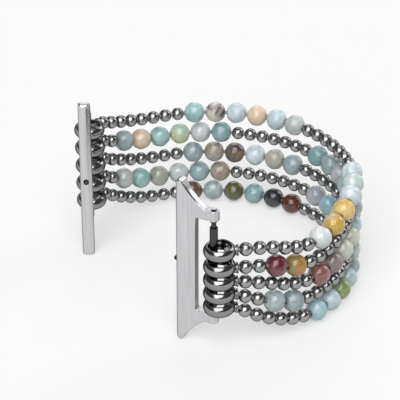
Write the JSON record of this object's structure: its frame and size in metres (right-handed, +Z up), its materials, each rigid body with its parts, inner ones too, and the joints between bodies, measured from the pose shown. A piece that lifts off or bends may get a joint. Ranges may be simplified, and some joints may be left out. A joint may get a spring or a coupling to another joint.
{
  "type": "stretch watch band",
  "caption": "Elastic watch band: parallel strands of metal and stone beads whose end rings hang on the spring bars of slide-in lug adapters.",
  "frame": {"origin": "on the floor below the middle of the band, which stands on its side edge", "axes": "+Z up along both spring bars, +Y from the near bar to the far bar, +X from the bars to the back of the loop"},
  "size_m": [0.0451, 0.0546, 0.0315],
  "materials": {
    "adapter_steel": "polished with brushed arm faces",
    "bar_steel": "bright drawn",
    "spring_steel": "bright drawn",
    "ring_steel": "mirror polished",
    "bead_steel": "mirror polished",
    "elastic": "matte",
    "stone_ends": "polished",
    "stone_strand_1": "polished",
    "stone_strand_2": "polished",
    "stone_strand_3": "polished",
    "stone_strand_4": "polished",
    "stone_strand_5": "polished"
  },
  "bodies": {
    "near_adapter": {"near_adapter": "adapter_steel", "near_catch_spring": "spring_steel"},
    "near_catch": {"near_catch_pin": "bar_steel"},
    "near_bar": {"near_bar_tube": "bar_steel", "near_bar_spring": "spring_steel"},
    "near_upper_tip": {"near_upper_tip": "bar_steel"},
    "near_lower_tip": {"near_lower_tip": "bar_steel"},
    "near_ring_1": {"near_ring_1": "ring_steel"},
    "near_ring_2": {"near_ring_2": "ring_steel"},
    "near_ring_3": {"near_ring_3": "ring_steel"},
    "near_ring_4": {"near_ring_4": "ring_steel"},
    "near_ring_5": {"near_ring_5": "ring_steel"},
    "near_strands": {"near_metal_beads_1": "bead_steel", "near_metal_beads_3": "bead_steel", "near_metal_beads_5": "bead_steel", "near_metal_beads_2_4": "bead_steel", "near_stones_2_4": "stone_ends"},
    "back_near": {"back_near_metal_beads_1": "bead_steel", "back_near_metal_beads_2": "bead_steel", "back_near_metal_beads_3": "bead_steel", "back_near_metal_beads_4": "bead_steel", "back_near_metal_beads_5": "bead_steel", "back_near_stones_1": "stone_strand_1", "back_near_stones_2": "stone_strand_2", "back_near_stones_3": "stone_strand_3", "back_near_stones_4": "stone_strand_4", "back_near_stones_5": "stone_strand_5", "cord_1": "elastic", "cord_2": "elastic", "cord_3": "elastic", "cord_4": "elastic", "cord_5": "elastic"},
    "back_far": {"back_far_metal_beads_1": "bead_steel", "back_far_metal_beads_2": "bead_steel", "back_far_metal_beads_3": "bead_steel", "back_far_metal_beads_4": "bead_steel", "back_far_metal_beads_5": "bead_steel", "back_far_stones_1": "stone_strand_1", "back_far_stones_2": "stone_strand_2", "back_far_stones_3": "stone_strand_3", "back_far_stones_4": "stone_strand_4", "back_far_stones_5": "stone_strand_5"},
    "far_strands": {"far_metal_beads_1": "bead_steel", "far_metal_beads_3": "bead_steel", "far_metal_beads_5": "bead_steel", "far_metal_beads_2_4": "bead_steel", "far_stones_2_4": "stone_ends"},
    "far_adapter": {"far_adapter": "adapter_steel", "far_catch_spring": "spring_steel"},
    "far_catch": {"far_catch_pin": "bar_steel"},
    "far_bar": {"far_bar_tube": "bar_steel", "far_bar_spring": "spring_steel"},
    "far_upper_tip": {"far_upper_tip": "bar_steel"},
    "far_lower_tip": {"far_lower_tip": "bar_steel"},
    "far_ring_1": {"far_ring_1": "ring_steel"},
    "far_ring_2": {"far_ring_2": "ring_steel"},
    "far_ring_3": {"far_ring_3": "ring_steel"},
    "far_ring_4": {"far_ring_4": "ring_steel"},
    "far_ring_5": {"far_ring_5": "ring_steel"}
  },
  "joints": [
    {"name": "near_bar_spin", "type": "hinge", "parent": "near_adapter", "child": "near_bar", "pos_m": [-0.01839, -0.02137, 0.01575], "axis": [0, 0, 1], "continuous": true},
    {"name": "near_upper_tip_press", "type": "slide", "parent": "near_bar", "child": "near_upper_tip", "axis": [0, 0, -1], "range_m": [0, 0.001], "stiffness_N_per_m": 800, "springref_m": -0.001, "deforming": ["near_bar_spring"]},
    {"name": "near_lower_tip_press", "type": "slide", "parent": "near_bar", "child": "near_lower_tip", "axis": [0, 0, 1], "range_m": [0, 0.001], "stiffness_N_per_m": 800, "springref_m": -0.001, "deforming": ["near_bar_spring"]},
    {"name": "near_catch_press", "type": "slide", "parent": "near_adapter", "child": "near_catch", "axis": [0.5299, -0.848, 0], "range_m": [0, 0.0005], "stiffness_N_per_m": 400, "springref_m": -0.0005, "deforming": ["near_catch_spring"]},
    {"name": "near_swivel", "type": "hinge", "parent": "near_adapter", "child": "near_strands", "pos_m": [-0.01839, -0.02137, 0.01575], "axis": [0, 0, 1], "range_deg": [-40, 40]},
    {"name": "near_ring_1_rock", "type": "hinge", "parent": "near_strands", "child": "near_ring_1", "pos_m": [-0.01489, -0.0232, 0.01575], "axis": [0, 0, 1], "range_deg": [-4, 4]},
    {"name": "near_ring_2_rock", "type": "hinge", "parent": "near_strands", "child": "near_ring_2", "pos_m": [-0.01489, -0.0232, 0.01575], "axis": [0, 0, 1], "range_deg": [-4, 4]},
    {"name": "near_ring_3_rock", "type": "hinge", "parent": "near_strands", "child": "near_ring_3", "pos_m": [-0.01489, -0.0232, 0.01575], "axis": [0, 0, 1], "range_deg": [-4, 4]},
    {"name": "near_ring_4_rock", "type": "hinge", "parent": "near_strands", "child": "near_ring_4", "pos_m": [-0.01489, -0.0232, 0.01575], "axis": [0, 0, 1], "range_deg": [-4, 4]},
    {"name": "near_ring_5_rock", "type": "hinge", "parent": "near_strands", "child": "near_ring_5", "pos_m": [-0.01489, -0.0232, 0.01575], "axis": [0, 0, 1], "range_deg": [-4, 4]},
    {"name": "flex_near", "type": "hinge", "parent": "near_strands", "child": "back_near", "pos_m": [0.00002, -0.02488, 0.01575], "axis": [0, 0, 1], "range_deg": [-12, 12], "deforming": ["cord_1", "cord_2", "cord_3", "cord_4", "cord_5"]},
    {"name": "stretch", "type": "slide", "parent": "back_near", "child": "back_far", "axis": [0, 1, 0], "range_m": [0, 0.012], "stiffness_N_per_m": 250, "springref_m": -0.002, "deforming": ["cord_1", "cord_2", "cord_3", "cord_4", "cord_5"]},
    {"name": "flex_far", "type": "hinge", "parent": "back_far", "child": "far_strands", "pos_m": [0.00216, 0.02437, 0.01575], "axis": [0, 0, 1], "range_deg": [-12, 12], "deforming": ["cord_1", "cord_2", "cord_3", "cord_4", "cord_5"]},
    {"name": "far_ring_1_rock", "type": "hinge", "parent": "far_strands", "child": "far_ring_1", "pos_m": [-0.01489, 0.0232, 0.01575], "axis": [0, 0, 1], "range_deg": [-4, 4]},
    {"name": "far_ring_2_rock", "type": "hinge", "parent": "far_strands", "child": "far_ring_2", "pos_m": [-0.01489, 0.0232, 0.01575], "axis": [0, 0, 1], "range_deg": [-4, 4]},
    {"name": "far_ring_3_rock", "type": "hinge", "parent": "far_strands", "child": "far_ring_3", "pos_m": [-0.01489, 0.0232, 0.01575], "axis": [0, 0, 1], "range_deg": [-4, 4]},
    {"name": "far_ring_4_rock", "type": "hinge", "parent": "far_strands", "child": "far_ring_4", "pos_m": [-0.01489, 0.0232, 0.01575], "axis": [0, 0, 1], "range_deg": [-4, 4]},
    {"name": "far_ring_5_rock", "type": "hinge", "parent": "far_strands", "child": "far_ring_5", "pos_m": [-0.01489, 0.0232, 0.01575], "axis": [0, 0, 1], "range_deg": [-4, 4]},
    {"name": "far_swivel", "type": "hinge", "parent": "far_strands", "child": "far_adapter", "pos_m": [-0.01839, 0.02137, 0.01575], "axis": [0, 0, 1], "range_deg": [-40, 40]},
    {"name": "far_bar_spin", "type": "hinge", "parent": "far_adapter", "child": "far_bar", "pos_m": [-0.01839, 0.02137, 0.01575], "axis": [0, 0, 1], "continuous": true},
    {"name": "far_upper_tip_press", "type": "slide", "parent": "far_bar", "child": "far_upper_tip", "axis": [0, 0, -1], "range_m": [0, 0.001], "stiffness_N_per_m": 800, "springref_m": -0.001, "deforming": ["far_bar_spring"]},
    {"name": "far_lower_tip_press", "type": "slide", "parent": "far_bar", "child": "far_lower_tip", "axis": [0, 0, 1], "range_m": [0, 0.001], "stiffness_N_per_m": 800, "springref_m": -0.001, "deforming": ["far_bar_spring"]},
    {"name": "far_catch_press", "type": "slide", "parent": "far_adapter", "child": "far_catch", "axis": [0.5299, 0.848, 0], "range_m": [0, 0.0005], "stiffness_N_per_m": 400, "springref_m": -0.0005, "deforming": ["far_catch_spring"]}
  ],
  "couplings": [
    {"joint": "flex_far", "follows": "flex_near", "ratio": 1}
  ]
}
